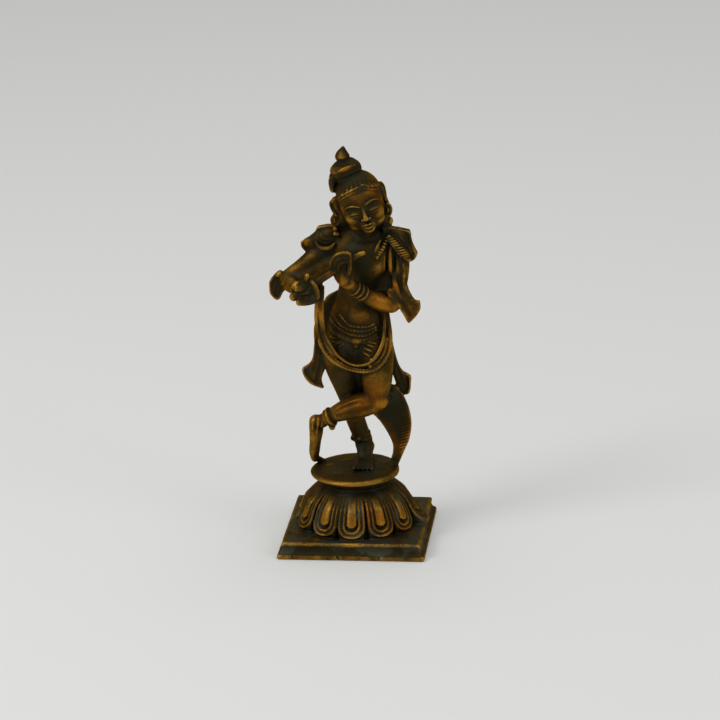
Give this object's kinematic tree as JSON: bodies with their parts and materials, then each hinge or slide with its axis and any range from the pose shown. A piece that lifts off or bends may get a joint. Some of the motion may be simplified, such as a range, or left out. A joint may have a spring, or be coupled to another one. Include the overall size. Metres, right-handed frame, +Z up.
{
  "type": "flute player figurine",
  "caption": "Small cast figure of a flute player, one leg crossed before the other, standing on a round disc over a lotus-petal bell and a stepped square base",
  "frame": {"origin": "centre of the plinth's underside, where it stands", "axes": "+Z up, -Y the front that the figure faces, +X to the right as seen from the front"},
  "size_m": [0.0681, 0.064, 0.1758],
  "materials": {
    "figure": "dark brown patina, rubbed to warm gold on raised places",
    "lotus_plinth": "dark brown patina, rubbed to warm gold on petal bosses and edges"
  },
  "bodies": {
    "root": {"figure": "figure", "lotus_plinth": "lotus_plinth"}
  },
  "joints": []
}
